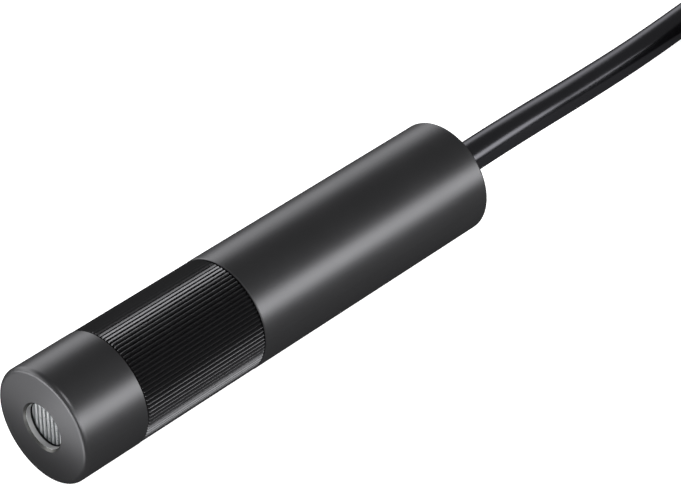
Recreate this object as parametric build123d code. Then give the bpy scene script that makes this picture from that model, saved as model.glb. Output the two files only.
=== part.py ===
from build123d import *
import os
from math import cos, degrees, floor, pi, radians, sin, sqrt, tan

# Laser line module with a hand-turned focus ring. Sizes are in millimetres. The axis lies along Y,
# the light leaves towards -Y, and the module lies on the plane Z = 0. A station is a distance along
# the axis, measured from the front face.

# Outside
body_radius = 8.0
nose_length = 10.2
ring_length = 20.0
ring_end_gap = 0.15
barrel_length = 42.1
nose_rounding = 0.7
rear_rounding = 0.3
edge_break = 0.12

# Fits
running_clearance = 0.05
slide_clearance = 0.04
seat_clearance = 0.02
end_gap = 0.15

# Nose and line lens
aperture_radius = 3.1
aperture_break = 0.3
aperture_land = 1.25
line_lens_inset = 1.4
line_lens_thickness = 2.2
rib_pitch = 0.72
rib_radius = 0.38
line_lens_ring_length = 0.75
line_lens_ring_wall = 0.9

# Focus ring and its knurl
ring_wall = 1.7
crest_relief = 0.04
knurl_count = 88
knurl_land = 0.04
knurl_flank_angle = 38.0

# Neck
neck_wall = 1.4
thread_step = 0.25
shoulder_web = 3.0
o_ring_section = 0.8
o_ring_setback = 3.0
o_ring_groove_play = 0.1

# Cam groove, pin and slot
focus_travel = 1.25
focus_turn = 75.0
cam_depth = 0.8
cam_step = 5.0
pin_radius = 0.75
pin_play = 0.06
pin_tip_gap = 0.1
pin_setback = 1.8
slot_end_play = 0.2

# Lens cell and collimating lens
cell_length = 8.5
cell_pocket_depth = 5.0
cell_wall = 1.29
lens_ledge = 0.9
lens_rim = 0.8
lens_thickness = 2.2
lens_edge = 1.1
lock_ring_length = 1.2
lock_ring_play = 0.1

# Spring
spring_length = 5.0
spring_wire = 0.45
spring_turns = 4
spring_side_gap = 0.3
spring_room = 1.1

# Laser diode
header_radius = 2.8
header_thickness = 1.2
cap_radius = 1.78
cap_length = 2.3
cap_wall = 0.2
cap_flange_width = 0.45
cap_flange_thickness = 0.25
window_radius = 1.2
window_hole_radius = 0.8
window_thickness = 0.25
post_width = 1.0
post_depth = 0.6
post_length = 1.5
submount_width = 0.6
submount_length = 1.0
submount_thickness = 0.25
lead_radius = 0.225
lead_circle_radius = 1.0
lead_side_offset = 0.72
lead_overlap = 2.5

# Diode block
boss_length = 2.0
lead_bore = 1.6
block_length = 5.0

# Barrel and driver board
barrel_wall = 1.4
sleeve_wall = 0.5
board_gap = 1.0
board_thickness = 1.2
board_edge_gap = 0.1
chip_width = 3.9
chip_length = 4.9
chip_height = 1.5
chip_legs_per_side = 4
chip_leg_pitch = 1.27
chip_leg_width = 0.42
chip_leg_reach = 1.05
chip_leg_thickness = 0.22
chip_setback = 7.5
capacitor_width = 2.8
capacitor_length = 3.5
capacitor_height = 1.9
capacitor_spacing = 5.2
resistor_width = 0.8
resistor_length = 1.6
resistor_height = 0.5
resistor_count = 4
resistor_pitch = 1.9
resistor_setback = 3.6
wire_radius = 0.5
wire_spread = 0.75
pad_spread = 2.6
pad_length = 2.0
wire_bend = 1.2
wire_room = 4.5

# Rear closure
end_plug_length = 4.0
end_plug_recess = 0.2
grommet_wall = 0.9
grommet_flange_width = 0.9
grommet_flange_length = 1.0
grommet_proud = 0.15
ferrule_wall = 0.85
ferrule_length = 2.4
jacket_overhang = 1.0

# Cable, measured from the rear face: sideways, backwards, height
cable_radius = 2.25
floor_clearance = 0.05
route = [
    (0.0, 5.0, 8.0),
    (-1.58, 19.0, 7.46),
    (-3.76, 34.0, 3.74),
    (-6.2, 50.0, 2.4),
    (-6.45, 67.0, 2.3),
]
hank_centre_x = 15.75
hank_centre_back = 95.9
hank_straight = 38.0
hank_mid_radius = 18.0
hank_turns_wide = 3
hank_turns_high = 2
hank_corner = 2.2
tie_thickness = 0.5
tie_width = 4.5
tail_route = [
    (38.2, 71.6, 7.2),
    (35.5, 61.0, 5.0),
]
arc_share = 0.45

# Supply plug, at the cable's far end
plug_x = 35.5
plug_back = 55.7
plug_radius = 5.0
plug_body_length = 17.0
plug_nose_radius = 4.0
plug_nose_length = 2.0
relief_length = 11.0
relief_wall = 0.9
relief_rings = 4
relief_ring_width = 1.1
relief_ring_depth = 0.25
plug_sleeve_radius = 2.75
plug_sleeve_wall = 0.25
plug_sleeve_length = 9.5
plug_contact_bore = 1.05
plug_contact_wall = 0.25
plug_contact_setback = 1.0
plug_tip_recess = 0.4
plug_root = 3.0
plug_collar_wall = 0.55

# Stations and radii that follow from the sizes
ring_start = nose_length + ring_end_gap
ring_end = ring_start + ring_length
barrel_start = ring_end + ring_end_gap
total_length = barrel_start + barrel_length
front_y = -total_length / 2
rear_y = total_length / 2
axis_height = body_radius

ring_crest = body_radius - crest_relief
ring_bore = body_radius - ring_wall
neck_radius = ring_bore - running_clearance
neck_bore = neck_radius - neck_wall
thread_radius = neck_radius - thread_step

line_lens_radius = thread_radius - line_lens_inset
line_lens_rear = aperture_land + line_lens_thickness
pocket_end = line_lens_rear + line_lens_ring_length
neck_front = pocket_end + end_gap
pocket_radius = line_lens_radius + seat_clearance

cam_floor = ring_bore + cam_depth
pin_station = ring_start + ring_length / 2
cell_radius = neck_bore - slide_clearance
lens_radius = cell_radius - cell_wall - seat_clearance
lens_clear_radius = lens_radius - lens_rim
cell_bore = lens_radius - lens_ledge
cell_rear = pin_station + pin_setback
cell_front = cell_rear - cell_length
lens_seat = cell_front + cell_pocket_depth
lens_front = lens_seat - lens_thickness

spring_seat = cell_rear + spring_length
boss_radius = neck_bore - spring_room
boss_front = spring_seat - boss_length
header_seat = boss_front + header_thickness
shoulder = barrel_start + shoulder_web
block_rear = shoulder + block_length

rear_bore = body_radius - barrel_wall
board_front = block_rear + board_gap
board_underside = -lead_circle_radius + lead_radius + seat_clearance
board_top = board_underside + board_thickness
sleeve_bore = rear_bore - seat_clearance - sleeve_wall
end_plug_rear = total_length - end_plug_recess
end_plug_front = end_plug_rear - end_plug_length
flange_front = end_plug_front - grommet_flange_length
ferrule_front = flange_front - ferrule_length
jacket_front = ferrule_front - jacket_overhang
board_rear = jacket_front - wire_room
board_length = board_rear - board_front
chip_station = board_front + chip_setback
grommet_radius = cable_radius + seat_clearance + grommet_wall


def turned(*corners):
    """A turned solid from the corners of its half section, each a radius and a station."""
    return revolve(make_face(Polyline(*corners, close=True)), Axis.Y)


def disc(radius, start, end):
    return turned((0, start), (radius, start), (radius, end), (0, end))


def tube(inner, outer, start, end):
    return turned((inner, start), (outer, start), (outer, end), (inner, end))


def rims(solid, radius):
    """The round edges of one radius, from the front to the rear."""
    round_edges = solid.edges().filter_by(GeomType.CIRCLE)
    return round_edges.filter_by(lambda edge: abs(edge.radius - radius) < 1e-4).sort_by(Axis.Y)


def on_axis(solid):
    """Puts a solid that is drawn about the Y axis at its height and station."""
    return Pos(0, front_y, axis_height) * solid


# Nose
def nose_cap():
    cap = turned(
        (aperture_radius, 0),
        (body_radius, 0),
        (body_radius, nose_length),
        (thread_radius + seat_clearance, nose_length),
        (thread_radius + seat_clearance, pocket_end),
        (pocket_radius, pocket_end),
        (pocket_radius, aperture_land),
        (aperture_radius, aperture_land),
    )
    cap = chamfer(rims(cap, body_radius)[-1], edge_break)
    cap = fillet(rims(cap, body_radius)[0], nose_rounding)
    return chamfer(rims(cap, aperture_radius)[0], aperture_break)


def ribbed_outline():
    """The lens seen from above: half-round ribs side by side on a flat back."""
    half_pitch = rib_pitch / 2
    rib_rise = rib_radius - sqrt(rib_radius**2 - half_pitch**2)
    count = 2 * floor(line_lens_radius / rib_pitch) + 2
    left = -count * half_pitch
    ribs = [
        ThreePointArc(
            (left + i * rib_pitch, aperture_land + rib_rise),
            (left + (i + 0.5) * rib_pitch, aperture_land),
            (left + (i + 1) * rib_pitch, aperture_land + rib_rise),
        )
        for i in range(count)
    ]
    back = Polyline(
        (-left, aperture_land + rib_rise),
        (-left, line_lens_rear),
        (left, line_lens_rear),
        (left, aperture_land + rib_rise),
    )
    return make_face(ribs + [back])


def line_lens():
    ribs = extrude(ribbed_outline(), line_lens_radius + 1, both=True)
    return ribs & disc(line_lens_radius, aperture_land, line_lens_rear)


def line_lens_ring():
    return tube(line_lens_radius - line_lens_ring_wall, line_lens_radius, line_lens_rear, pocket_end)


# Focus ring
def cam_station(turn):
    """Where the groove's middle lies at an angle from the top, in degrees towards +X."""
    return pin_station - focus_travel * turn / focus_turn


def knurled_outline():
    """A star of V grooves, whose depth follows from their spacing and their flank angle."""
    pitch = 2 * pi * ring_crest / knurl_count
    depth = (pitch - knurl_land) / 2 / tan(radians(knurl_flank_angle))
    half_land = knurl_land / 2 / ring_crest
    corners = []
    for i in range(knurl_count):
        middle = 2 * pi * i / knurl_count
        corners.append((ring_crest * cos(middle - half_land), ring_crest * sin(middle - half_land)))
        corners.append((ring_crest * cos(middle + half_land), ring_crest * sin(middle + half_land)))
        valley = middle + pi / knurl_count
        corners.append(((ring_crest - depth) * cos(valley), (ring_crest - depth) * sin(valley)))
    return make_face(Polyline(*corners, close=True))


def cam_groove():
    """A ruled helical groove in the bore, from one end of the ring's turn to the other."""
    slope = focus_travel / radians(focus_turn) / ring_bore
    half_width = pin_radius * sqrt(1 + slope**2) + pin_play
    end_turn = focus_turn + degrees((pin_radius + pin_play) / ring_bore)
    inner = ring_bore - cam_depth
    steps = 2 * floor(end_turn / cam_step)
    sections = []
    for i in range(steps + 1):
        turn = end_turn * (2 * i / steps - 1)
        out_x = sin(radians(turn))
        out_z = cos(radians(turn))
        low = cam_station(turn) - half_width
        high = cam_station(turn) + half_width
        corners = [
            (inner * out_x, low, inner * out_z),
            (cam_floor * out_x, low, cam_floor * out_z),
            (cam_floor * out_x, high, cam_floor * out_z),
            (inner * out_x, high, inner * out_z),
        ]
        sections.append(make_face(Polyline(*corners, close=True)))
    return loft(sections, ruled=True)


def entry_channel():
    """The straight channel through which the pin enters the groove when the ring is put on."""
    start = cam_station(-focus_turn)
    length = ring_end + end_gap - start
    channel = Box(2 * (pin_radius + pin_play), length, cam_floor, align=(Align.CENTER, Align.MIN, Align.MIN))
    return Rot(0, -focus_turn, 0) * (Pos(0, start, 0) * channel)


def focus_ring():
    blank = extrude(knurled_outline() - Circle(ring_bore), ring_length)
    blank = Pos(0, ring_start, 0) * (Rot(-90, 0, 0) * blank)
    return blank - cam_groove() - entry_channel()


# Neck and barrel
def pin_slot():
    width = 2 * (pin_radius + pin_play)
    length = 2 * (focus_travel + pin_radius + slot_end_play)
    slot = extrude(SlotOverall(length, width, rotation=90), neck_radius + 1)
    return Pos(0, pin_station, 0) * slot


def barrel():
    housing = turned(
        (neck_bore, neck_front),
        (thread_radius, neck_front),
        (thread_radius, nose_length),
        (neck_radius, nose_length),
        (neck_radius, barrel_start),
        (body_radius, barrel_start),
        (body_radius, total_length),
        (rear_bore, total_length),
        (rear_bore, shoulder),
        (neck_bore, shoulder),
    )
    housing = chamfer(rims(housing, body_radius)[0], edge_break)
    housing = fillet(rims(housing, body_radius)[-1], rear_rounding)
    groove_rear = ring_end - o_ring_setback + o_ring_groove_play
    groove_front = groove_rear - o_ring_section - 2 * o_ring_groove_play
    groove = tube(o_ring_inner() - seat_clearance, neck_radius + 1, groove_front, groove_rear)
    return housing - groove - pin_slot()


def o_ring_inner():
    return ring_bore - running_clearance / 2 - o_ring_section


def focus_o_ring():
    middle = o_ring_inner() + o_ring_section / 2
    ring = Rot(90, 0, 0) * Torus(middle, o_ring_section / 2)
    return Pos(0, ring_end - o_ring_setback - o_ring_section / 2, 0) * ring


# Lens cell
def lens_cell():
    cell = turned(
        (lens_radius + seat_clearance, cell_front),
        (cell_radius, cell_front),
        (cell_radius, cell_rear),
        (cell_bore, cell_rear),
        (cell_bore, lens_seat),
        (lens_radius + seat_clearance, lens_seat),
    )
    hole = extrude(Circle(pin_radius + seat_clearance), cell_radius + 1)
    return cell - Pos(0, pin_station, 0) * hole


def drive_pin():
    root = cell_bore + seat_clearance
    shank = extrude(Circle(pin_radius), cam_floor - pin_tip_gap - root)
    return Pos(0, pin_station, root) * shank


def collimating_lens():
    """Flat at the rear, convex at the front, with a flat rim for its ring."""
    rise = lens_thickness - lens_edge
    curve = (lens_clear_radius**2 + rise**2) / (2 * rise)
    half_way = lens_front + curve - sqrt(curve**2 - lens_clear_radius**2 / 4)
    rim_front = lens_seat - lens_edge
    edge = Polyline(
        (0, lens_front),
        (0, lens_seat),
        (lens_radius, lens_seat),
        (lens_radius, rim_front),
        (lens_clear_radius, rim_front),
    )
    dome = ThreePointArc((lens_clear_radius, rim_front), (lens_clear_radius / 2, half_way), (0, lens_front))
    outline = [edge, dome]
    return revolve(make_face(outline), Axis.Y)


def lens_lock_ring():
    rear = lens_seat - lens_edge
    return tube(lens_clear_radius + lock_ring_play, lens_radius, rear - lock_ring_length, rear)


def focus_spring():
    middle = neck_bore - spring_side_gap - spring_wire / 2
    rise = spring_length - spring_wire - 2 * seat_clearance
    line = Helix(rise / spring_turns, rise, middle)
    wire = sweep(Plane(line @ 0, z_dir=line % 0) * Circle(spring_wire / 2), line, is_frenet=True)
    return Pos(0, cell_rear + seat_clearance + spring_wire / 2, 0) * (Rot(-90, 0, 0) * wire)


# Diode
def diode_block():
    block = turned(
        (lead_bore, header_seat),
        (header_radius + seat_clearance, header_seat),
        (header_radius + seat_clearance, boss_front),
        (boss_radius, boss_front),
        (boss_radius, spring_seat),
        (neck_bore - seat_clearance, spring_seat),
        (neck_bore - seat_clearance, shoulder),
        (rear_bore - seat_clearance, shoulder),
        (rear_bore - seat_clearance, block_rear),
        (lead_bore, block_rear),
    )
    return chamfer(rims(block, rear_bore - seat_clearance)[-1], edge_break)


def diode_header():
    base = disc(header_radius, boss_front, header_seat)
    post = Box(post_width, post_length, post_depth, align=(Align.CENTER, Align.MAX, Align.MAX))
    return base + Pos(0, boss_front, -submount_thickness) * post


def laser_chip():
    mount = Box(submount_width, submount_length, submount_thickness, align=(Align.CENTER, Align.MIN, Align.MAX))
    return Pos(0, boss_front - post_length, 0) * mount


def diode_cap():
    front = boss_front - cap_length
    flange = boss_front - cap_flange_thickness
    return turned(
        (window_hole_radius, front),
        (cap_radius, front),
        (cap_radius, flange),
        (cap_radius + cap_flange_width, flange),
        (cap_radius + cap_flange_width, boss_front),
        (cap_radius - cap_wall, boss_front),
        (cap_radius - cap_wall, front + cap_wall),
        (window_hole_radius, front + cap_wall),
    )


def diode_window():
    rear_of_wall = boss_front - cap_length + cap_wall
    return disc(window_radius, rear_of_wall, rear_of_wall + window_thickness)


def diode_leads():
    """Two leads on top of the board and one below it."""
    upper = board_top + seat_clearance + lead_radius
    length = board_front + lead_overlap - header_seat
    lead = Rot(-90, 0, 0) * extrude(Circle(lead_radius), length)
    places = [(-lead_side_offset, upper), (lead_side_offset, upper), (0, -lead_circle_radius)]
    return [Pos(x, header_seat, z) * lead for x, z in places]


# Driver board
def driver_board():
    widest = max(abs(board_underside), abs(board_top))
    half_width = sqrt(sleeve_bore**2 - widest**2) - board_edge_gap
    board = Box(2 * half_width, board_length, board_thickness, align=(Align.CENTER, Align.MIN, Align.MIN))
    return Pos(0, board_front, board_underside) * board


def on_board(width, length, height):
    return Box(width, length, height, align=(Align.CENTER, Align.CENTER, Align.MIN))


def driver_chip():
    chip = chamfer(on_board(chip_width, chip_length, chip_height).edges().group_by(Axis.Z)[-1], edge_break)
    leg_span = chip_width + 2 * chip_leg_reach
    legs = [
        Pos(0, (i - (chip_legs_per_side - 1) / 2) * chip_leg_pitch, 0)
        * on_board(leg_span, chip_leg_width, chip_leg_thickness)
        for i in range(chip_legs_per_side)
    ]
    return Pos(0, chip_station, board_top) * (chip + legs)


def board_capacitors():
    """Two capacitors, midway between the driver chip and the pads of the wires."""
    body = chamfer(
        on_board(capacitor_width, capacitor_length, capacitor_height).edges().group_by(Axis.Z)[-1],
        edge_break,
    )
    station = (chip_station + chip_length / 2 + board_rear - pad_length) / 2
    return [Pos(side * capacitor_spacing / 2, station, board_top) * body for side in (-1, 1)]


def board_resistors():
    body = on_board(resistor_width, resistor_length, resistor_height)
    left = -(resistor_count - 1) * resistor_pitch / 2
    station = board_front + resistor_setback
    return [Pos(left + i * resistor_pitch, station, board_top) * body for i in range(resistor_count)]


def core_wire(side):
    """One of the cable's two cores, from the jacket's end to its pad on the board."""
    pad_height = board_top + seat_clearance + wire_radius
    bend_rear = jacket_front - wire_radius - wire_bend
    bend_front = board_rear
    line = FilletPolyline(
        (side * wire_spread, jacket_front, 0),
        (side * wire_spread, bend_rear, 0),
        (side * pad_spread, bend_front, pad_height),
        (side * pad_spread, board_rear - pad_length, pad_height),
        radius=wire_bend,
    )
    return sweep(Plane(line @ 0, z_dir=line % 0) * Circle(wire_radius), line)


def insulating_sleeve():
    return tube(sleeve_bore, sleeve_bore + sleeve_wall, block_rear + end_gap, end_plug_front - end_gap)


# Rear closure
def end_plug():
    hole = grommet_radius + seat_clearance
    closure = tube(hole, rear_bore - seat_clearance, end_plug_front, end_plug_rear)
    return chamfer(rims(closure, rear_bore - seat_clearance)[-1], edge_break)


def cable_grommet():
    bore = cable_radius + seat_clearance
    return turned(
        (bore, flange_front),
        (grommet_radius + grommet_flange_width, flange_front),
        (grommet_radius + grommet_flange_width, end_plug_front),
        (grommet_radius, end_plug_front),
        (grommet_radius, end_plug_rear + grommet_proud),
        (bore, end_plug_rear + grommet_proud),
    )


def cable_ferrule():
    bore = cable_radius + seat_clearance
    return tube(bore, bore + ferrule_wall, ferrule_front, flange_front)


# Cable
def corner_radii(points):
    """For each corner the radius whose arc takes the stated share of the shorter run."""
    runs = [b - a for a, b in zip(points, points[1:])]
    radii = []
    for before, after in zip(runs, runs[1:]):
        shorter = min(before.length, after.length)
        radii.append(arc_share * shorter / tan(radians(before.get_angle(after) / 2)))
    return radii


def cord_tube(name, points):
    """A round tube along straight runs and arcs, with its radii and its volume printed."""
    radii = corner_radii(points)
    line = FilletPolyline(*points, radius=radii)
    cord = sweep(Plane(line @ 0, z_dir=line % 0) * Circle(cable_radius), line)
    expected = pi * cable_radius**2 * line.length
    print(name, "length", round(line.length, 1), "radii", [round(r, 1) for r in radii])
    print(name, "volume over section times length", round(cord.volume / expected, 4))
    return cord


def hank_outer_turn():
    return hank_mid_radius + (hank_turns_wide - 1) * cable_radius


def hank_centre():
    """The middle of the hank, at the height of its underside, which lies on the tie."""
    underside = floor_clearance + tie_thickness + seat_clearance
    return Vector(hank_centre_x, rear_y + hank_centre_back, underside)


def cable():
    start = Vector(0, front_y + jacket_front, axis_height)
    beyond = [Vector(x, rear_y + back, z) for x, back, z in route]
    joins_hank = hank_centre() + Vector(-hank_outer_turn(), -hank_straight / 2, cable_radius)
    return cord_tube("cable", [start, *beyond, joins_hank])


def cable_hank():
    """The outer shape of the turns, a long loop with rounded corners."""
    half_width = hank_turns_wide * cable_radius
    height = hank_turns_high * 2 * cable_radius
    outside = SlotCenterToCenter(hank_straight, 2 * (hank_mid_radius + half_width), 90)
    inside = SlotCenterToCenter(hank_straight, 2 * (hank_mid_radius - half_width), 90)
    loop = extrude(outside - inside, height)
    layers = loop.edges().group_by(Axis.Z)
    loop = fillet(layers[0] + layers[-1], hank_corner)
    return Pos(*hank_centre()) * loop


def cable_tie():
    """A flat tie round one long side of the hank."""
    width = 2 * (hank_turns_wide * cable_radius + seat_clearance)
    height = 2 * (hank_turns_high * cable_radius + seat_clearance)
    inside = RectangleRounded(width, height, hank_corner)
    outside = offset(inside, tie_thickness)
    band = extrude(Plane.XZ * (outside - inside), tie_width / 2, both=True)
    middle = hank_centre() + Vector(hank_mid_radius, 0, hank_turns_high * cable_radius)
    return Pos(*middle) * band


def cable_tail():
    top_layer = (2 * hank_turns_high - 1) * cable_radius
    leaves_hank = hank_centre() + Vector(hank_outer_turn(), -hank_straight / 2, top_layer)
    beyond = [Vector(x, rear_y + back, z) for x, back, z in tail_route]
    at_plug = Vector(plug_x, rear_y + plug_back, plug_radius)
    return cord_tube("cable tail", [leaves_hank, *beyond, at_plug])


# Supply plug
def at_plug(solid):
    """Puts a solid that is drawn from the cable's end forwards along Y on the plug's axis."""
    return Pos(plug_x, rear_y + plug_back, plug_radius) * (Rot(0, 0, 180) * solid)


def plug_body():
    """A moulded grip with a ringed strain relief that tapers onto the cable."""
    relief_root = plug_radius - relief_wall
    tip = cable_radius + relief_wall
    body_end = relief_length + plug_body_length
    nose_end = body_end + plug_nose_length
    collar_bore = plug_sleeve_radius + plug_collar_wall + seat_clearance
    body = turned(
        (0, 0),
        (tip, 0),
        (relief_root, relief_length),
        (plug_radius, relief_length),
        (plug_radius, body_end),
        (plug_nose_radius, nose_end),
        (collar_bore, nose_end),
        (collar_bore, nose_end - plug_root),
        (0, nose_end - plug_root),
    )
    spacing = relief_length / (relief_rings + 0.5)
    for i in range(relief_rings):
        start = (i + 0.5) * spacing
        outside = tip + (relief_root - tip) * start / relief_length
        body -= tube(outside - relief_ring_depth, plug_radius, start, start + relief_ring_width)
    return body


def plug_tip():
    """The station of the plug's open end, from the cable's end."""
    return relief_length + plug_body_length + plug_nose_length + plug_sleeve_length


def plug_sleeve():
    """The outer contact, with a thicker collar that is held in the grip."""
    inner = plug_sleeve_radius - plug_sleeve_wall
    shoulder_at = plug_tip() - plug_sleeve_length
    sleeve = tube(inner, plug_sleeve_radius, shoulder_at, plug_tip())
    return sleeve + tube(inner, plug_sleeve_radius + plug_collar_wall, shoulder_at - plug_root, shoulder_at)


def plug_insulator():
    inner = plug_contact_bore + plug_contact_wall + seat_clearance
    outer = plug_sleeve_radius - plug_sleeve_wall - seat_clearance
    root = plug_tip() - plug_sleeve_length - plug_root
    return tube(inner, outer, root, plug_tip() - plug_tip_recess)


def plug_contact():
    outer = plug_contact_bore + plug_contact_wall
    root = plug_tip() - plug_sleeve_length - plug_root
    return tube(plug_contact_bore, outer, root, plug_tip() - plug_contact_setback)


nodes = {
    "nose_cap": on_axis(nose_cap()),
    "line_lens": on_axis(line_lens()),
    "line_lens_ring": on_axis(line_lens_ring()),
    "focus_ring": on_axis(focus_ring()),
    "barrel": on_axis(barrel()),
    "focus_o_ring": on_axis(focus_o_ring()),
    "lens_cell": on_axis(lens_cell()),
    "drive_pin": on_axis(drive_pin()),
    "collimating_lens": on_axis(collimating_lens()),
    "lens_lock_ring": on_axis(lens_lock_ring()),
    "focus_spring": on_axis(focus_spring()),
    "diode_block": on_axis(diode_block()),
    "diode_header": on_axis(diode_header()),
    "laser_chip": on_axis(laser_chip()),
    "diode_cap": on_axis(diode_cap()),
    "diode_window": on_axis(diode_window()),
    "diode_leads": on_axis(Compound(diode_leads())),
    "driver_board": on_axis(driver_board()),
    "driver_chip": on_axis(driver_chip()),
    "board_capacitors": on_axis(Compound(board_capacitors())),
    "board_resistors": on_axis(Compound(board_resistors())),
    "positive_wire": on_axis(core_wire(1)),
    "negative_wire": on_axis(core_wire(-1)),
    "insulating_sleeve": on_axis(insulating_sleeve()),
    "end_plug": on_axis(end_plug()),
    "cable_grommet": on_axis(cable_grommet()),
    "cable_ferrule": on_axis(cable_ferrule()),
    "cable": cable(),
    "cable_hank": cable_hank(),
    "cable_tie": cable_tie(),
    "cable_tail": cable_tail(),
    "plug_body": at_plug(plug_body()),
    "plug_sleeve": at_plug(plug_sleeve()),
    "plug_insulator": at_plug(plug_insulator()),
    "plug_contact": at_plug(plug_contact()),
}

os.makedirs("parts", exist_ok=True)
for name, solid in nodes.items():
    export_step(solid, f"parts/{name}.step")
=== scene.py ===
# %% [markdown]
# # A laser line module, dressed
#
# The part is a turned, black anodised module with a knurled focus ring and a round cable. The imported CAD
# model gives the shapes and their places. This lesson loads it, adds the pieces that CAD leaves plain,
# gives every piece a finish made of nodes, and puts it under plain studio light.

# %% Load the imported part
import math

import bmesh
import bpy
import mathutils
import numpy as np
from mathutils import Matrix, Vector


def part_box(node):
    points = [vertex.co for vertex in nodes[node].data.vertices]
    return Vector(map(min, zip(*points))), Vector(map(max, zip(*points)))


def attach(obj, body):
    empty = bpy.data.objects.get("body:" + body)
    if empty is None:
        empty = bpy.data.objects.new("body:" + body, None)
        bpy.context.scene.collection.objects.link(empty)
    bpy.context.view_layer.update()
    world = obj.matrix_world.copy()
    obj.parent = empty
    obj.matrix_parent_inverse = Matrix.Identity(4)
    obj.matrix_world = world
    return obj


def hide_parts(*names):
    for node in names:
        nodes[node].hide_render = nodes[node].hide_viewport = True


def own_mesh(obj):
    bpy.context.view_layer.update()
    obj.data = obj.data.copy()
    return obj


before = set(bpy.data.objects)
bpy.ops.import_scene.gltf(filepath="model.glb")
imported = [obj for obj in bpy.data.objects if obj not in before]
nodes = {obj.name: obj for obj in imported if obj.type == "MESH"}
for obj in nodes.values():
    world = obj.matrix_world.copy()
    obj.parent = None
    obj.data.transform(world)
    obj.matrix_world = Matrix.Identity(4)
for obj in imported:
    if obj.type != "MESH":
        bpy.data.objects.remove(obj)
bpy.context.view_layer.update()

MM = 0.001

# %% [markdown]
# ## The sizes that everything hangs on
#
# The module was turned on one axis, so a few numbers place all that follows. They are read from the packed
# solids and not typed again: if the barrel grew, the ring and the lens would follow it.

# %% Axis and stations
nose_low, nose_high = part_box("nose_cap")
ring_low, ring_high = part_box("focus_ring")
barrel_low, barrel_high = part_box("barrel")
lens_low, lens_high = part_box("line_lens")
spring_low, spring_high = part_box("focus_spring")

body_radius = (nose_high.x - nose_low.x) / 2
axis_height = (nose_high.z + nose_low.z) / 2
front_y = nose_low.y
rear_y = barrel_high.y
print(f"radius {body_radius / MM:.2f} mm, axis {axis_height / MM:.2f} mm up, "
      f"length {(rear_y - front_y) / MM:.2f} mm")

# %% [markdown]
# ## Camera
#
# A long lens from about 0.4 m away. Its place came from fitting the module's two outlines and the two ends
# of its axis, so the foreshortening of the barrel tells how long the module is.

# %% Camera
camera_place = (219.936 * MM, -216.786 * MM, 243.02 * MM)
look_down = math.radians(36.29)
look_left = math.radians(43.35)

camera_data = bpy.data.cameras.new("camera")
camera_data.sensor_width = 36.0
camera_data.lens = 160.6
camera_data.clip_start = 0.01
camera_data.clip_end = 20.0
camera = bpy.data.objects.new("camera", camera_data)
camera.location = camera_place
camera.rotation_euler = (math.pi / 2 - look_down, 0, look_left)
bpy.context.scene.collection.objects.link(camera)
bpy.context.scene.camera = camera
print("camera at", [round(v, 3) for v in camera.location])

# %% [markdown]
# ## The cable
#
# The real cable is a round two-core lead, 4.5 mm thick, of which little more than the first 50 mm show. It
# leaves the middle of the rear face straight and sinks to the table under its own weight. The rest is
# folded into a tied hank in line with the module, with the supply plug beside it. A cord bends smoothly
# everywhere, so it is one NURBS curve with a round bevel, whose control points lie at the corners of the
# solid model's tube. Only the hank's turns are worked out: they lie a diameter apart, three beside each
# other and two high.

# %% Where the cable runs
cable_radius = 2.25 * MM
cable_inside = 8.6 * MM
floor_clearance = 0.05 * MM
cable_start = (0.0, rear_y - cable_inside, axis_height)
cable_route = [
    (-0.24, 5.0, 8.29),
    (-1.68, 19.0, 6.79),
    (-3.96, 34.0, 4.12),
    (-5.77, 50.0, 2.3),
    (-6.77, 67.0, 2.36),
]
tail_route = [
    (38.2, 71.6, 7.2),
    (35.5, 61.0, 5.0),
    (35.5, 55.7, 5.0),
]


def behind_rear(points):
    """Places in metres of points given in millimetres: sideways, beyond the rear face, and height."""
    return [(x * MM, rear_y + back * MM, z * MM) for x, back, z in points]


print("points before the hank:", 1 + len(cable_route), "and after it:", len(tail_route))

# %% [markdown]
# One turn of the hank is a long side away from the module, a half circle, a long side back and a half
# circle. Each is a number of steps, and how far a turn lies from the middle one, and on which layer, are
# functions of the step too. Both stay level and then change by one diameter: sideways along a long side,
# and upwards round a half circle, where nothing lies in the way.

# %% The hank's turns
hank_centre = (15.75 * MM, rear_y + 95.9 * MM)
hank_straight = 38.0 * MM
hank_middle_radius = 18.0 * MM
tie_underneath = 0.52 * MM
turn_gap = 0.03 * MM
hank_underside = floor_clearance + tie_underneath
spacing = 2 * cable_radius + turn_gap
side_steps, arc_steps = 4, 14
turn_steps = 2 * (side_steps + arc_steps)
turn_corners = [0, side_steps, side_steps + arc_steps, turn_steps - arc_steps, turn_steps]
last_step = 4 * turn_steps + turn_corners[3]


def hank_points():
    """x = cx + R cos a, y = cy + R sin a + shift, where a goes clockwise from the left side round the half
    circles and stands still along the sides, while the shift goes from one end of the side to the other.

    R is the middle turn's radius plus the spacing times a side number: 1 for the first turn, 0 for the
    second and -1 for the third. There the cable climbs one layer, and comes back out over 0 to 1 in another
    turn and a half.
    """
    step = np.arange(last_step + 1)
    within = step % turn_steps
    angle = np.interp(within, turn_corners, [math.pi, math.pi, 0, 0, -math.pi])
    shift = np.interp(within, turn_corners, np.array([-0.5, 0.5, 0.5, -0.5, -0.5]) * hank_straight)
    moves_in = [turn_steps, turn_steps + side_steps, 2 * turn_steps, 2 * turn_steps + side_steps]
    moves_out = [3 * turn_steps + corner for corner in turn_corners[2:4]]
    moves_out += [last_step - side_steps, last_step]
    moves_up = [2 * turn_steps + turn_corners[3], 3 * turn_steps]
    side = np.interp(step, moves_in + moves_out, [1, 0, 0, -1, -1, 0, 0, 1])
    layer = np.interp(step, moves_up, [0, 1])
    radius = hank_middle_radius + side * spacing
    x = hank_centre[0] + radius * np.cos(angle)
    y = hank_centre[1] + radius * np.sin(angle) + shift
    z = hank_underside + cable_radius + layer * spacing
    return list(zip(x, y, z))


route = [cable_start, *behind_rear(cable_route), *hank_points(), *behind_rear(tail_route)]
print("route points:", len(route))


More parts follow.
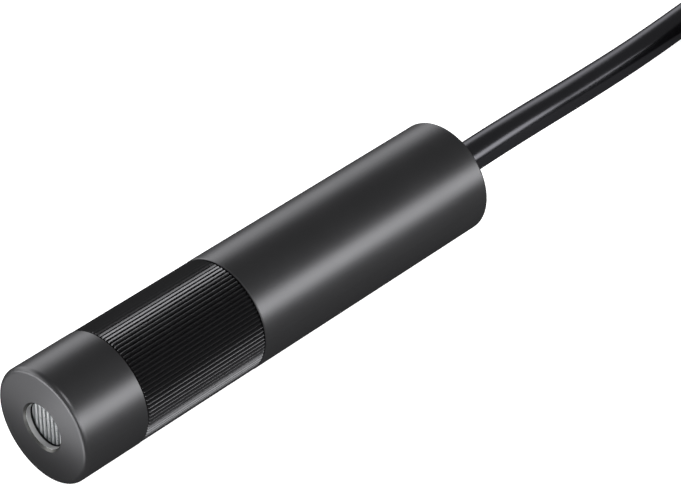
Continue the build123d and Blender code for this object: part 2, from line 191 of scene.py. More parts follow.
# %% The cable as one curve
def round_cord(name, points, radius):
    """One open NURBS curve of order 3 that starts and ends at its first and last point, with a round bevel.

    Each point's own radius is the cord's, times a bevel of 1 m. The usual way round, a bevel of the cord's
    radius times a point radius of 1, looks the same, but then Blender's box of the curve stands out by a
    metre.
    """
    curve = bpy.data.curves.new(name, "CURVE")
    curve.dimensions = "3D"
    curve.bevel_depth = 1.0
    curve.bevel_resolution = 6
    curve.use_fill_caps = True
    curve.resolution_u = 10
    spline = curve.splines.new("NURBS")
    spline.points.add(len(points) - 1)
    spline.points.foreach_set("co", np.array([(*p, 1.0) for p in points], dtype=np.float32).ravel())
    spline.points.foreach_set("radius", np.full(len(points), radius, dtype=np.float32))
    spline.order_u = 3
    spline.use_endpoint_u = True
    cord = bpy.data.objects.new(name, curve)
    bpy.context.scene.collection.objects.link(cord)
    return cord


supply_cable = round_cord("supply_cable", route, cable_radius)
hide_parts("cable", "cable_hank", "cable_tail")
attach(supply_cable, "housing")
print("cable: one spline of", len(supply_cable.data.splines[0].points), "points")

# %% [markdown]
# ## From arrays to a mesh
#
# Every new rigid piece below is a sheet of points: a grid whose columns go round the piece and whose rows
# go along its section and back to the start, like the skin of a ring. Numpy works the whole grid out at
# once, and one function turns it into faces. Points that fall on each other are merged, so that no pole
# stays open.


# %% Grid to piece
def grid_faces(rows, columns, columns_close=True):
    """The quads between the points of a grid whose rows close on themselves, and its columns if told so."""
    row = np.arange(rows)[:, None]
    column = np.arange(columns if columns_close else columns - 1)[None, :]
    next_row, next_column = (row + 1) % rows, (column + 1) % columns
    corners = (
        row * columns + column,
        row * columns + next_column,
        next_row * columns + next_column,
        next_row * columns + column,
    )
    return np.stack(np.broadcast_arrays(*corners), axis=-1).reshape(-1, 4)


def piece(name, points, faces, sharp_angle=32.0):
    """A mesh object at the origin, with its doubled points merged and its faces turned outwards."""
    mesh = bpy.data.meshes.new(name)
    mesh.from_pydata(points.reshape(-1, 3).tolist(), [], faces.tolist())
    work = bmesh.new()
    work.from_mesh(mesh)
    bmesh.ops.remove_doubles(work, verts=work.verts, dist=1e-7)
    bmesh.ops.dissolve_degenerate(work, edges=work.edges, dist=1e-8)
    bmesh.ops.recalc_face_normals(work, faces=work.faces)
    open_edges = sum(1 for edge in work.edges if len(edge.link_faces) != 2)
    work.to_mesh(mesh)
    work.free()
    mesh.shade_smooth()
    mesh.set_sharp_from_angle(angle=math.radians(sharp_angle))
    made = bpy.data.objects.new(name, mesh)
    bpy.context.scene.collection.objects.link(made)
    print(f"{name}: {len(mesh.vertices)} points, {len(mesh.polygons)} faces, {open_edges} open edges")
    return made


# %% [markdown]
# ## The focus ring
#
# A straight knurl is cut or pressed into the ring's outside: 88 V grooves with a sharp crest between them,
# which the fingers grip. What the eye reads as bright and dark lines are the two flanks of each groove,
# which stand 70 degrees apart, so their slope matters more than their depth. The tool rolls the metal over
# a little, so that one side of each crest has a rounded shoulder, and that catches a fainter line of light
# of its own.

# %% The knurl's section
groove_count = 88
flank_slope = 1 / math.tan(math.radians(35.0))
crest_radius = (ring_high.x - ring_low.x) / 2
knurl_pitch = 2 * math.pi * crest_radius / groove_count
tip_rounding = 0.005 * MM
shoulder_width = 0.06 * MM
shoulder_first_slope = math.tan(math.radians(20.0))
shoulder_last_slope = math.tan(math.radians(33.0))
groove_angle = 2 * math.pi / groove_count


def knurl_radius(angle):
    """Crest radius less the depth of the groove, which is the lesser drop from the crests on its two sides.

    From the crest on its left the flank drops in a straight line, with its first bit rounded: the square
    root of the squared distance plus a small square takes the place of the distance. From the crest on its
    right it first drops in a parabola, whose slope grows over the shoulder that the tool rolls over, and
    then in a straight line.
    """
    along = (angle * crest_radius / knurl_pitch) % 1.0 * knurl_pitch
    straight = (np.sqrt(along**2 + tip_rounding**2) - tip_rounding) * flank_slope
    back = knurl_pitch - along
    on_shoulder = np.minimum(back, shoulder_width)
    growth = (shoulder_last_slope - shoulder_first_slope) / (2 * shoulder_width)
    rolled = on_shoulder * shoulder_first_slope + on_shoulder**2 * growth + (back - on_shoulder) * flank_slope
    return crest_radius - np.minimum(straight, rolled)


print("grooves:", groove_count, "at a pitch of", round(knurl_pitch / MM, 3), "mm")

# %% [markdown]
# Twenty samples to a groove are enough if they lie where the section bends. So the samples, which are
# shares of the pitch, crowd at the crest and over the shoulder, and one falls exactly on the groove's root,
# which is found as the lowest of many tries.

# %% Where the knurl is sampled
flank_samples = np.array([0.0, 0.008, 0.018, 0.035, 0.07, 0.2, 0.34, 0.42])
shoulder_samples = 1 - np.array([0.5, 0.35, 0.2, 0.14, 0.115, 0.1, 0.08, 0.06, 0.04, 0.02, 0.008])
root_tries = np.linspace(flank_samples[-1], shoulder_samples[0], 161)
root_sample = root_tries[np.argmin(knurl_radius(root_tries * groove_angle))]
one_groove = np.concatenate([flank_samples, [root_sample], shoulder_samples])
knurl_angles = ((np.arange(groove_count)[:, None] + one_groove[None, :]) * groove_angle).ravel()
groove_depth = crest_radius - knurl_radius(knurl_angles).min()
print("groove depth:", round(groove_depth / MM, 3), "mm, root at", round(root_sample, 3), "of the pitch")

# %% [markdown]
# The ring's surface is a distance from the axis as a function of the angle and the place along the axis.
# Inside runs the cam: a helical groove for the pin that moves the lens cell, with a straight channel to let
# the pin in when the ring is put on.

# %% The ring with its cam
ring_wall = 1.7 * MM
crest_relief = 0.04 * MM
ring_bore = crest_radius + crest_relief - ring_wall
ring_edge_break = 0.1 * MM
cam_depth = 0.8 * MM
cam_half_width = 0.81 * MM
cam_middle = (ring_low.y + ring_high.y) / 2
focus_travel = 1.25 * MM
focus_turn = math.radians(75.0)
cam_end = focus_turn + cam_half_width / ring_bore
channel_half_angle = math.asin(cam_half_width / ring_bore)


def ring_rows(angle):
    """The ring's closed section at every angle, as arrays of radius and place along the axis.

    The angle runs from the top towards +X. Outside, the rows are the knurl with its edges broken, and a
    second row close to each edge keeps the shading of the break out of the long flanks. Inside, four rows
    follow the cam's two edges, so the grid is sheared along the helix and the groove's walls stay crisp.
    """
    knurl = knurl_radius(angle)
    broken = np.minimum(knurl, crest_radius - ring_edge_break)
    groove = cam_middle - focus_travel * angle / focus_turn
    in_cam = np.abs(angle) <= cam_end
    in_channel = np.abs(angle + focus_turn) <= channel_half_angle
    bore = np.full_like(angle, ring_bore)
    cam = np.where(in_cam, ring_bore + cam_depth, ring_bore)
    channel = np.where(in_channel, ring_bore + cam_depth, ring_bore)
    low, high = groove - cam_half_width, groove + cam_half_width
    start, end = np.full_like(angle, ring_low.y), np.full_like(angle, ring_high.y)
    first, last = start + ring_edge_break, end - ring_edge_break
    hold = 0.5 * ring_edge_break
    radius = [broken, knurl, knurl, knurl, knurl, broken, channel, channel, cam, cam, bore, bore]
    place = [start, first, first + hold, last - hold, last, end, end, high, high, low, low, start]
    return np.array(radius), np.array(place)


def focus_ring():
    """x = r sin t, z = axis + r cos t, over the knurl's angles and the angles where the cam's walls stand."""
    walls = np.array([-cam_end, -focus_turn - channel_half_angle, -focus_turn + channel_half_angle, cam_end])
    nudge = 1e-5
    angle = (knurl_angles + math.pi) % (2 * math.pi) - math.pi
    angle = np.sort(np.concatenate([angle, walls - nudge, walls + nudge]))
    radius, place = ring_rows(angle)
    points = np.stack([radius * np.sin(angle), place, axis_height + radius * np.cos(angle)], axis=-1)
    return piece("focus_ring_knurled", points, grid_faces(*radius.shape))


knurled_ring = focus_ring()
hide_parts("focus_ring")
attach(knurled_ring, "focus_ring")

# %% [markdown]
# ## The line lens
#
# The lens that spreads the beam into a line is a small disc with half-round ribs on its front, moulded in
# clear acrylic. Seen along the ribs, its section is a row of arcs. So the grid's columns step across the
# ribs, with one more wherever two arcs meet, and at every column the section is a rectangle as high as the
# disc is there.

# %% The line lens
rib_pitch = 0.72 * MM
rib_radius = 0.38 * MM
lens_radius = (lens_high.x - lens_low.x) / 2
lens_columns = 193
lens_rows = 25
cusps_each_side = 6


def line_lens():
    """At x the half height is sqrt(R^2 - x^2) and the front lies rib_radius - sqrt(rib_radius^2 - u^2)
    back, where u is the distance from the middle of the rib. The rows go up the front and down the back,
    and both ends of the disc have no height, which closes it."""
    across = np.linspace(-lens_radius, lens_radius, lens_columns)
    cusps = np.arange(-cusps_each_side, cusps_each_side + 1) * rib_pitch
    across = np.unique(np.round(np.concatenate([across, cusps]), 9))
    offset = (across % rib_pitch) - rib_pitch / 2
    front = lens_low.y + rib_radius - np.sqrt(rib_radius**2 - offset**2)
    half_height = np.sqrt(np.maximum(lens_radius**2 - across**2, 0))
    half_height[[0, -1]] = 0
    steps = np.linspace(-1, 1, lens_rows)[:, None]
    up = np.stack(np.broadcast_arrays(across, front, axis_height + steps * half_height), axis=-1)
    down = np.stack(np.broadcast_arrays(across, lens_high.y, axis_height - steps * half_height), axis=-1)
    points = np.concatenate([up, down])
    faces = grid_faces(*points.shape[:2], columns_close=False)
    return piece("line_lens_ribbed", points, faces, sharp_angle=40.0)


ribbed_lens = line_lens()
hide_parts("line_lens")
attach(ribbed_lens, "housing")

# %% [markdown]
# ## The focus spring
#
# A compression spring keeps the pin on one wall of the cam. A real one has closed ends that are ground
# flat, so the pitch is not even: the first and the last turn lie almost flat, and the ones between share
# the height. The coil line is a function of the turn, and a circle is carried along it.

# %% The focus spring
spring_wire = 0.225 * MM
spring_radius = (spring_high.x - spring_low.x) / 2 - spring_wire
spring_turns = 6.0
closed_turns = 0.6
closed_pitch = 0.16
steps_per_turn = 40
wire_sides = 14


def focus_spring():
    """Height as the integral of a pitch that is even, but small over the first and last turn."""
    turn = np.linspace(0, spring_turns, int(spring_turns * steps_per_turn) + 1)
    pitch = closed_pitch + np.clip(np.minimum(turn, spring_turns - turn) - closed_turns, 0, 1)
    climb = np.concatenate([[0], np.cumsum((pitch[1:] + pitch[:-1]) / 2)])
    low, high = spring_low.y + spring_wire, spring_high.y - spring_wire
    along = low + (high - low) * climb / climb[-1]
    angle = 2 * math.pi * turn
    out = np.stack([np.sin(angle), np.zeros_like(angle), np.cos(angle)], axis=-1)
    axis = np.array([0.0, 1.0, 0.0])
    middle = out * spring_radius + np.stack([0 * along, along, 0 * along + axis_height], axis=-1)
    around = np.linspace(0, 2 * math.pi, wire_sides, endpoint=False)[:, None, None]
    ring = middle + spring_wire * (np.cos(around) * out + np.sin(around) * axis)
    first_cap = np.broadcast_to(middle[:1], (wire_sides, 1, 3))
    last_cap = np.broadcast_to(middle[-1:], (wire_sides, 1, 3))
    points = np.concatenate([first_cap, ring, last_cap], axis=1)
    return piece("focus_spring_wound", points, grid_faces(*points.shape[:2], columns_close=False))


wound_spring = focus_spring()
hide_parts("focus_spring")
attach(wound_spring, "housing")
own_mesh(wound_spring)

# %% [markdown]
# ## Finishes
#
# A finish is a shader with textures on its sockets. Colours are written as the hex codes that a colour
# picker gives, and turned to the linear numbers that light adds up in. Textures read Object coordinates in
# metres, so each scale comes from a real size: a noise of scale s has lumps about 1 / s metres wide.


# %% Helpers for finishes
def linear(code):
    """An sRGB hex code as linear red, green, blue and alpha."""
    colour = np.array([int(code[i : i + 2], 16) for i in (0, 2, 4)]) / 255
    colour = np.where(colour <= 0.04045, colour / 12.92, ((colour + 0.055) / 1.055) ** 2.4)
    return (*colour.tolist(), 1.0)


def add(tree, kind, settings=None, links=None):
    """A node with its settings, which are its own or a socket's, and the links that come into it."""
    node = tree.nodes.new(kind)
    for key, value in (settings or {}).items():
        if isinstance(key, str) and hasattr(node, key):
            setattr(node, key, value)
        else:
            node.inputs[key].default_value = value
    for key, source in (links or {}).items():
        tree.links.new(source, node.inputs[key])
    return node


def blank(name):
    """A material with an empty node tree, and that tree."""
    material = bpy.data.materials.new(name)
    material.use_nodes = True
    material.node_tree.nodes.clear()
    return material, material.node_tree


def principled(name, settings):
    """A material with one Principled shader, and the parts that the textures are linked to."""
    material, tree = blank(name)
    shader = add(tree, "ShaderNodeBsdfPrincipled", settings)
    add(tree, "ShaderNodeOutputMaterial", links={"Surface": shader.outputs["BSDF"]})
    place = add(tree, "ShaderNodeTexCoord").outputs["Object"]
    return material, tree, shader, place


def lumps(size):
    """The noise scale whose lumps are about this many metres wide."""
    return 1 / size


def bands(spacing):
    """The wave scale with one band per spacing, because a wave texture's bands are pi / 10 units apart."""
    return math.pi / 10 / spacing


print("mid grey 808080 is", round(linear("808080")[0], 3), "in linear light")

# %% [markdown]
# ### Black anodised aluminium
#
# The nose, the ring and the barrel are turned from aluminium, blasted or etched matt, anodised and dyed
# black. The eye gets a nearly black body with a soft grey sheen. What matters most is the rim: a Principled
# metal or plastic turns white where it is seen edge on, but the open pores of a dyed oxide swallow the
# light that comes in flat, so the rim of the real module stays dark. A plain Glossy shader mirrors the same
# share at every angle, so it is mixed with a nearly black Diffuse one. The blasting is a grain of about
# 0.05 mm, which is too fine to show here, so it is drawn at 0.12 mm. The lathe's rings are 0.1 mm apart and
# faint. The knurl's flanks were pressed and not blasted, so they are glossier, and their lines of light
# stay narrow.


# %% Black anodised aluminium
def dark_sheen(name, body, sheen, roughness, grain_size, grain_depth, lathe_depth=0.0):
    """A nearly black body that mirrors the same small share at every angle, half Diffuse and half Glossy.

    A grain of noise lies under faint lathe rings, and the roughness drifts over a few millimetres.
    """
    material, tree = blank(name)
    place = add(tree, "ShaderNodeTexCoord").outputs["Object"]
    drift = add(tree, "ShaderNodeTexNoise", {"Scale": lumps(6 * MM), "Detail": 3.0}, {"Vector": place})
    rough = add(
        tree,
        "ShaderNodeMapRange",
        {"From Min": 0.3, "From Max": 0.7, "To Min": roughness - 0.015, "To Max": roughness + 0.015},
        {"Value": drift.outputs["Fac"]},
    )
    grain = add(tree, "ShaderNodeTexNoise", {"Scale": lumps(grain_size), "Detail": 2.0}, {"Vector": place})
    blasted = add(
        tree,
        "ShaderNodeBump",
        {"Strength": 0.3, "Distance": grain_depth},
        {"Height": grain.outputs["Fac"]},
    )
    normal = blasted.outputs["Normal"]
    if lathe_depth:
        rings = add(
            tree,
            "ShaderNodeTexWave",
            {"bands_direction": "Y", "Scale": bands(0.1 * MM), "Distortion": 0.6, "Detail": 1.0},
            {"Vector": place},
        )
        turned = add(
            tree,
            "ShaderNodeBump",
            {"Strength": 0.3, "Distance": lathe_depth},
            {"Height": rings.outputs["Fac"], "Normal": normal},
        )
        normal = turned.outputs["Normal"]
    matt = add(tree, "ShaderNodeBsdfDiffuse", {"Color": linear(body)}, {"Normal": normal})
    gloss = add(
        tree,
        "ShaderNodeBsdfGlossy",
        {"Color": linear(sheen)},
        {"Roughness": rough.outputs["Result"], "Normal": normal},
    )
    both = add(tree, "ShaderNodeMixShader", {0: 0.5}, {1: matt.outputs[0], 2: gloss.outputs[0]})
    add(tree, "ShaderNodeOutputMaterial", links={"Surface": both.outputs[0]})
    return material


black_turned = dark_sheen(
    "black_anodised_aluminium_blasted",
    body="0e0e0f",
    sheen="353536",
    roughness=0.345,
    grain_size=0.12 * MM,
    grain_depth=0.006 * MM,
    lathe_depth=0.001 * MM,
)
black_knurled = dark_sheen(
    "black_anodised_aluminium_knurled",
    body="232324",
    sheen="2d2d2e",
    roughness=0.18,
    grain_size=0.12 * MM,
    grain_depth=0.002 * MM,
)
print("made", black_turned.name, "and", black_knurled.name)

# %% [markdown]
# ### The bright-cut aperture
#
# The front of the aperture is reamed and its edge broken after anodising, so both are cut through to the
# metal. That gives the pale crescent under the lens and a fainter line round it. Deeper in, next to the
# lens, the wall keeps the black sheen, which is painted shade for the dark gap there. The nose is one solid
# with one material, so the cut is a change of colour within it: each zone has a radius round the axis and a
# depth behind the front face, and the later, smaller zone lies over the earlier.

# %% The bright-cut aperture
aperture_radius = 3.1 * MM
aperture_break = 0.3 * MM
just_over = 0.0005 * MM
lens_depth = lens_low.y - front_y
# Deeper than this the wall keeps the black sheen: painted shade in the recess next to the lens.
cut_and_shade_depth = 0.75 * lens_depth


def reamed(material, name, zones):
    """A copy of a finish whose sheen takes each zone's colour where both the distance from the axis and the
    depth are less than the zone's. The distance is the length of the position with its y left out."""
    bare = material.copy()
    bare.name = name
    tree = bare.node_tree
    gloss = next(node for node in tree.nodes if node.type == "BSDF_GLOSSY")
    place = add(tree, "ShaderNodeTexCoord").outputs["Object"]
    face_centre = (0, front_y, axis_height)
    centred = add(tree, "ShaderNodeVectorMath", {"operation": "SUBTRACT", 1: face_centre}, {0: place})
    flat = add(tree, "ShaderNodeVectorMath", {"operation": "MULTIPLY", 1: (1, 0, 1)}, {0: centred.outputs[0]})
    length = add(tree, "ShaderNodeVectorMath", {"operation": "LENGTH"}, {0: flat.outputs[0]})
    distance = length.outputs["Value"]
    behind = add(tree, "ShaderNodeSeparateXYZ", links={0: centred.outputs[0]}).outputs["Y"]
    tone = None
    for radius, depth, colour in zones:
        near = add(tree, "ShaderNodeMath", {"operation": "LESS_THAN", 1: radius}, {0: distance})
        shallow = add(tree, "ShaderNodeMath", {"operation": "LESS_THAN", 1: depth}, {0: behind})
        inside = add(
            tree,
            "ShaderNodeMath",
            {"operation": "MULTIPLY"},
            {0: near.outputs[0], 1: shallow.outputs[0]},
        )
        links = {0: inside.outputs[0]} if tone is None else {0: inside.outputs[0], 6: tone}
        settings = {"data_type": "RGBA", 6: gloss.inputs["Color"].default_value[:], 7: linear(colour)}
        tone = add(tree, "ShaderNodeMix", settings, links).outputs[2]
    tree.links.new(tone, gloss.inputs["Color"])
    return bare


# Both zones stop at the same depth, so the wall nearer the lens stays dark as painted shade.
black_nose = reamed(
    black_turned,
    "black_anodised_aluminium_reamed",
    [
        (aperture_radius + aperture_break + just_over, cut_and_shade_depth, "3a3a39"),
        (aperture_radius + just_over, cut_and_shade_depth, "ffffff"),
    ],
)
print("the lens lies", round(lens_depth / MM, 2), "mm behind the face, and the bright cut is",
      round(cut_and_shade_depth / MM, 2), "mm deep")

# %% [markdown]
# ### Clear parts
#
# The line lens is moulded acrylic, with an IOR of 1.49. Its ribs throw the light back and forth until the
# whole disc looks milky, which so few bounces of a render don't reach, so the milkiness is in the material.
# Light leaves a rib mostly at its crown and is trapped where two ribs meet, so the colour carries a painted
# highlight, paler at each crown, and a painted shade, darker where two ribs meet. The collimating lens and
# the diode's window are polished glass, which only shows its edges.


# %% Clear parts
def clear(name, tint, ior, roughness, haze_size, clearness=1.0):
    """A see-through solid, or a milky one where its clearness is less than 1, with a haze that drifts."""
    material, tree, shader, place = principled(
        name, {"Base Color": linear(tint), "Transmission Weight": clearness, "IOR": ior}
    )
    haze = add(tree, "ShaderNodeTexNoise", {"Scale": lumps(haze_size), "Detail": 2.0}, {"Vector": place})
    rough = add(
        tree,
        "ShaderNodeMapRange",
        {"To Min": roughness * 0.7, "To Max": roughness * 1.3},
        {"Value": haze.outputs["Fac"]},
    )
    tree.links.new(rough.outputs["Result"], shader.inputs["Roughness"])
    return material


def ribbed(material, cusp, crown):
    """The same finish, less glossy, whose colour carries a painted shade at each cusp and a painted highlight
    at each crown, once for each rib.
    """
    tree = material.node_tree
    place = add(tree, "ShaderNodeTexCoord").outputs["Object"]
    ribs = add(
        tree,
        "ShaderNodeTexWave",
        {"bands_direction": "X", "Scale": bands(rib_pitch)},
        {"Vector": place},
    )
    # Painted shade at each cusp and painted highlight at each crown, one band for each rib.
    tone = add(
        tree,
        "ShaderNodeMix",
        {"data_type": "RGBA", 6: linear(cusp), 7: linear(crown)},
        {0: ribs.outputs["Fac"]},
    )
    shader = next(node for node in tree.nodes if node.type == "BSDF_PRINCIPLED")
    tree.links.new(tone.outputs[2], shader.inputs["Base Color"])
    shader.inputs["Specular IOR Level"].default_value = 0.2
    return material


milky_acrylic = clear("moulded_clear_acrylic", "ffffff", 1.49, 0.3, 0.5 * MM, clearness=0.25)
# The lens's colour carries a painted shade where two ribs meet and a painted highlight on each rib's crown.
rib_shaded_acrylic = ribbed(milky_acrylic, cusp="525557", crown="8d9092")
optical_glass = clear("polished_optical_glass", "fbfdff", 1.58, 0.01, 1.0 * MM)
print("made", rib_shaded_acrylic.name, "and", optical_glass.name)

# %% [markdown]
# ### Bare metals
#
# Brass, steel, nickel and gold plate differ in colour and in how their surface was made. Each gets a fine
# noise that breaks up its highlight, as turned, drawn or plated metal does.


# %% Bare metals
def bare_metal(name, colour, roughness, mark_size, mark_depth):
    """A metal whose gloss and height follow the same fine marks."""
    material, tree, shader, place = principled(name, {"Base Color": linear(colour), "Metallic": 1.0})
    marks = add(tree, "ShaderNodeTexNoise", {"Scale": lumps(mark_size), "Detail": 3.0}, {"Vector": place})
    rough = add(
        tree,
        "ShaderNodeMapRange",
        {"To Min": roughness * 0.8, "To Max": roughness * 1.2},
        {"Value": marks.outputs["Fac"]},
    )
    bump = add(
        tree,
        "ShaderNodeBump",
        {"Strength": 0.3, "Distance": mark_depth},
        {"Height": marks.outputs["Fac"]},
    )
    tree.links.new(rough.outputs["Result"], shader.inputs["Roughness"])
    tree.links.new(bump.outputs["Normal"], shader.inputs["Normal"])
    return material


# Brass off the lathe is a warm yellow with a soft shine.
turned_brass = bare_metal("turned_brass", "c9a352", 0.28, 0.15 * MM, 0.002 * MM)
# Spring wire is drawn through a die, which leaves it grey and satin.
drawn_steel = bare_metal("drawn_spring_steel", "9b9da0", 0.3, 0.2 * MM, 0.002 * MM)
# The diode's base and leads have a thin plating of gold over a smooth stamping.
gold_plate = bare_metal("gold_plated_nickel_iron", "e0b95c", 0.22, 0.3 * MM, 0.001 * MM)
# The plug's nickel is rubbed dull by its sockets, so it stays grey in a white room.
nickel_plate = bare_metal("nickel_plated_brass", "7d7a74", 0.34, 0.4 * MM, 0.001 * MM)
print("bare metals: brass, steel, gold and nickel")

# %% [markdown]
# ### Plastics, rubber and film
#
# Moulded and extruded plastics are coloured all through. What tells them apart is their gloss and their
# grain. The black ones that lie in the open get the same dark sheen as the module, so that they sit in the
# same light.


# %% Plastics, rubber and film
def plastic(name, colour, roughness, grain_size, grain_depth):
    """A coloured plastic with a fine grain, whose colour and gloss drift a little."""
    material, tree, shader, place = principled(name, {"IOR": 1.5})
    grain = add(tree, "ShaderNodeTexNoise", {"Scale": lumps(grain_size), "Detail": 3.0}, {"Vector": place})
    drift = add(tree, "ShaderNodeTexNoise", {"Scale": lumps(8 * MM), "Detail": 2.0}, {"Vector": place})
    light = linear(colour)
    dark = (*(0.92 * value for value in light[:3]), 1.0)
    tone = add(
        tree,
        "ShaderNodeMix",
        {"data_type": "RGBA", 6: dark, 7: light},
        {0: drift.outputs["Fac"]},
    )
    rough = add(
        tree,
        "ShaderNodeMapRange",
        {"To Min": roughness - 0.03, "To Max": roughness + 0.03},
        {"Value": drift.outputs["Fac"]},
    )
    bump = add(
        tree,
        "ShaderNodeBump",
        {"Strength": 0.4, "Distance": grain_depth},
        {"Height": grain.outputs["Fac"]},
    )
    tree.links.new(tone.outputs[2], shader.inputs["Base Color"])
    tree.links.new(rough.outputs["Result"], shader.inputs["Roughness"])
    tree.links.new(bump.outputs["Normal"], shader.inputs["Normal"])
    return material


# The jacket leaves its die smooth, so lamps draw narrow lines on it.
cable_pvc = dark_sheen("extruded_black_pvc", "111113", "2b2b2d", 0.22, 0.35 * MM, 0.002 * MM)
# The plug's mould is spark-eroded, and its even grain looks matt.
moulded_pvc = dark_sheen("moulded_black_pvc", "18181a", "27272a", 0.42, 0.15 * MM, 0.006 * MM)
# The tie is a thin strip with a satin skin.
tie_film = dark_sheen("extruded_black_tie_film", "151516", "242426", 0.4, 0.2 * MM, 0.003 * MM)
# Nitrile rubber is dull and never quite black.
nitrile = plastic("moulded_nitrile_rubber", "1a1a1b", 0.6, 0.2 * MM, 0.006 * MM)
# The two cores' insulation is thin, clean in colour and satin.
red_pvc = plastic("extruded_red_pvc", "b3201f", 0.4, 0.3 * MM, 0.003 * MM)
black_pvc = plastic("extruded_black_core_pvc", "1c1c1e", 0.4, 0.3 * MM, 0.003 * MM)
# Film that is wound round the board is a grey glossy skin.
sleeve_film = plastic("wound_polyester_film", "3a3c40", 0.3, 0.6 * MM, 0.002 * MM)
# A green solder mask over a woven board shows a faint weave of 0.25 mm.
circuit_board = plastic("glass_epoxy_board_green_mask", "1f5c3a", 0.35, 0.25 * MM, 0.004 * MM)
# Chips are moulded with a coarse, dull skin.
moulded_epoxy = plastic("moulded_black_epoxy", "222224", 0.55, 0.1 * MM, 0.006 * MM)
# Fired ceramic is chalky white, and the submount is greyer and smoother.
fired_ceramic = plastic("fired_alumina_ceramic", "dcd8cf", 0.5, 0.1 * MM, 0.004 * MM)
submount_ceramic = plastic("metallised_aluminium_nitride", "b9b4a6", 0.35, 0.1 * MM, 0.002 * MM)
print("two cores:", red_pvc.name, "and", black_pvc.name)

# %% [markdown]
# ### Who gets what
#
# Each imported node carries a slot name, and that name picks its finish. The new pieces get theirs by hand,
# and so does the nose, for its bright-cut aperture.

# %% Give every piece its finish
finish_of_slot = {
    "anodised_aluminium": black_turned,
    "clear_lens": optical_glass,
    "brass": turned_brass,
    "rubber": nitrile,
    "steel": drawn_steel,
    "gold_plated_leads": gold_plate,
    "submount": submount_ceramic,
    "circuit_board": circuit_board,
    "moulded_component": moulded_epoxy,
    "ceramic_component": fired_ceramic,
    "sleeve_film": sleeve_film,
    "red_insulation": red_pvc,
    "black_insulation": black_pvc,
    "cable_jacket": cable_pvc,
    "tie_film": tie_film,
    "plug_moulding": moulded_pvc,
    "nickel_plate": nickel_plate,
}
for node in nodes.values():
    for holder in node.material_slots:
        slot_name = holder.material.name.split(".")[0]
        holder.material = finish_of_slot[slot_name]

nodes["nose_cap"].material_slots[0].material = black_nose
supply_cable.data.materials.append(cable_pvc)
knurled_ring.data.materials.append(black_knurled)
ribbed_lens.data.materials.append(rib_shaded_acrylic)
wound_spring.data.materials.append(drawn_steel)
print("slots with a finish:", len(finish_of_slot))

# %% [markdown]
# ## Light
#
# Two long softboxes lie parallel to the module, one on each side and low, so each draws one straight band
# of light along it. A real softbox is brightest in its middle, and that is what makes the bands so soft on
# a surface that is itself rather smooth. So each is a nest of lamps, one wider than the other. A plain lamp
# of each nest lights everything. The wider ones are there for the reflections only, because a black object
# is exposed longer than the level at which the other colours look right.


# %% Softboxes
def area_lamp(name, size, radiance, reflected_only):
    """A rectangle of light that the camera doesn't see, not yet in its place. Its power is pi times its
    area times its radiance, so a radiance of 1 looks as bright as white paper."""
    data = bpy.data.lights.new(name, "AREA")
    data.shape = "RECTANGLE"
    data.size, data.size_y = size
    data.energy = radiance * math.pi * size[0] * size[1]
    lamp = bpy.data.objects.new(name, data)
    lamp.visible_camera = False
    lamp.visible_diffuse = not reflected_only
    bpy.context.scene.collection.objects.link(lamp)
    return lamp


def softbox(name, aim, distance, width, length, radiance, reflected_only=False):
    """A lamp that faces a point on the axis from a direction. Its length lies along the module, or across
    it where it stands in front. A lamp shines along its own -Z, so its Z is the direction that it is seen
    in."""
    aim = mathutils.Vector(aim).normalized()
    upright = mathutils.Vector((0, 1, 0)) if abs(aim.y) < 0.5 else mathutils.Vector((1, 0, 0))
    across = upright.cross(aim).normalized()
    turn = mathutils.Matrix((across.cross(aim), across, aim)).transposed()
    lamp = area_lamp(name, (length, width), radiance, reflected_only)
    lamp.location = mathutils.Vector((0, 0, axis_height)) + aim * distance
    lamp.rotation_euler = turn.to_euler()


nest_distance = 0.6
nest_step = 0.01
nest_length = 2.0
nest_along = 0.12


def side_nest(name, degrees_from_top, layers):
    """Lamps of growing half angle from the axis, each a little before the last. The first lights all."""
    angle = math.radians(degrees_from_top)
    aim = (math.sin(angle), nest_along, math.cos(angle))
    for i, (half_angle, radiance) in enumerate(layers):
        distance = nest_distance - nest_step * i
        width = 2 * distance * math.tan(math.radians(half_angle))
        softbox(f"{name}_{i}", aim, distance, width, nest_length, radiance, reflected_only=i > 0)


side_nest("softbox_left", -72.0, [(9.0, 4.0), (15.0, 4.0), (24.0, 6.0)])
side_nest("softbox_right", 72.0, [(9.0, 4.5), (10.0, 5.0), (15.0, 13.0)])
print("lamps at the sides:", len(bpy.data.lights))

# %% [markdown]
# One more softbox stands in front and lights the aperture, and a small one nearly overhead draws the short
# line at the back of the nose's rounded edge. White cards lie on the table before the nose, as
# photographers lay them to lift a dark front face. The near ones light the face, and the far one draws the
# line round the face's edge. They show in reflections only, so the table itself stays as it is.

# %% Front softboxes and cards
softbox("softbox_front", (0.05, -0.86, 0.5), distance=0.6, width=0.2, length=0.8, radiance=1.5)
softbox(
    "sheen_overhead",
    (0.42, -0.22, 0.88),
    distance=0.59,
    width=0.2,
    length=0.35,
    radiance=20.0,
    reflected_only=True,
)

# Sideways, beyond the front face and height, then width and length, all in millimetres, and the radiance.
cards = {
    "card_front": ((-1.5, -14.0, 0.3), (17, 13), 8.0),
    "card_front_wide": ((-7.0, -17.0, 0.2), (30, 20), 6.0),
    "card_far": ((-50.0, -105.0, 0.2), (120, 150), 27.0),
}
for name, ((x, forward, z), (width, length), radiance) in cards.items():
    card = area_lamp(name, (width * MM, length * MM), radiance, reflected_only=True)
    card.location = (x * MM, front_y + forward * MM, z * MM)
    card.rotation_euler = (math.pi, 0, 0)
print("lamps in all:", len(bpy.data.lights))

# %% [markdown]
# ## Floor and background
#
# The ground is plain white. More light would make it so, but would wash out the module too. So the sky and
# the floor are white only to the rays that see them, straight, in a reflection or through the lens, and the
# floor keeps the module's soft shadow. The light that the sky gives stays at a plain level.

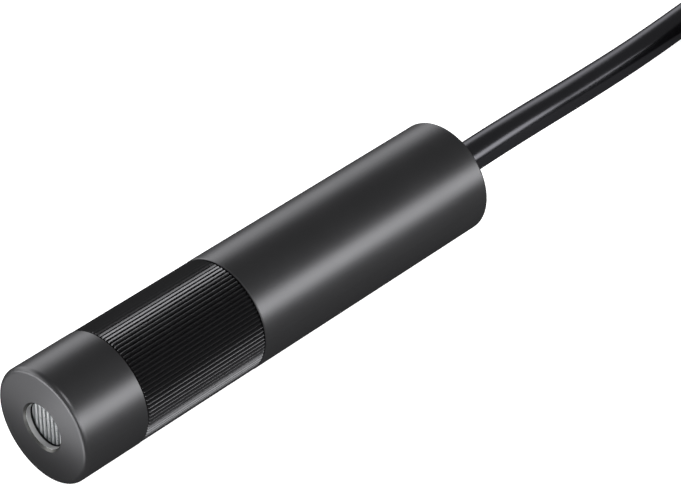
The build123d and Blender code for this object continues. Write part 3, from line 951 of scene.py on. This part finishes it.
# %% Floor and world
sky_level = 0.55
floor_half = 3.0
floor_drop = 0.02 * MM


def white_where_seen(tree):
    """1 for camera, glossy and transmission rays, and 0 for the rays that light the object."""
    path = add(tree, "ShaderNodeLightPath")
    first = add(
        tree,
        "ShaderNodeMath",
        {"operation": "MAXIMUM"},
        {0: path.outputs["Is Camera Ray"], 1: path.outputs["Is Glossy Ray"]},
    )
    both = add(
        tree,
        "ShaderNodeMath",
        {"operation": "MAXIMUM"},
        {0: first.outputs[0], 1: path.outputs["Is Transmission Ray"]},
    )
    return both.outputs[0]


def white_world():
    """White to the eye and in reflections, and a plain grey sky to everything that it lights."""
    world = bpy.data.worlds.new("white_studio")
    bpy.context.scene.world = world
    world.use_nodes = True
    tree = world.node_tree
    tree.nodes.clear()
    level = add(tree, "ShaderNodeMapRange", {"To Min": sky_level}, {"Value": white_where_seen(tree)})
    sky = add(tree, "ShaderNodeBackground", {"Color": linear("ffffff")}, {"Strength": level.outputs[0]})
    add(tree, "ShaderNodeOutputWorld", links={"Surface": sky.outputs[0]})


def white_floor():
    """A matt white sheet that keeps the module's soft shadow, with enough light of its own to be white."""
    corners = [(x * floor_half, y * floor_half, -floor_drop) for x, y in ((-1, -1), (1, -1), (1, 1), (-1, 1))]
    mesh = bpy.data.meshes.new("floor")
    mesh.from_pydata(corners, [], [(0, 1, 2, 3)])
    floor = bpy.data.objects.new("floor", mesh)
    bpy.context.scene.collection.objects.link(floor)
    material, tree = blank("matt_white_paper")
    matt = add(tree, "ShaderNodeBsdfDiffuse", {"Color": linear("dcdcdc")})
    glow = add(tree, "ShaderNodeEmission", {"Color": linear("ffffff")}, {"Strength": white_where_seen(tree)})
    both = add(tree, "ShaderNodeAddShader", links={0: matt.outputs[0], 1: glow.outputs[0]})
    add(tree, "ShaderNodeOutputMaterial", links={"Surface": both.outputs[0]})
    mesh.materials.append(material)


white_world()
white_floor()
bpy.context.scene.view_settings.view_transform = "Standard"
print("floor", 2 * floor_half, "m wide, sky at", sky_level)
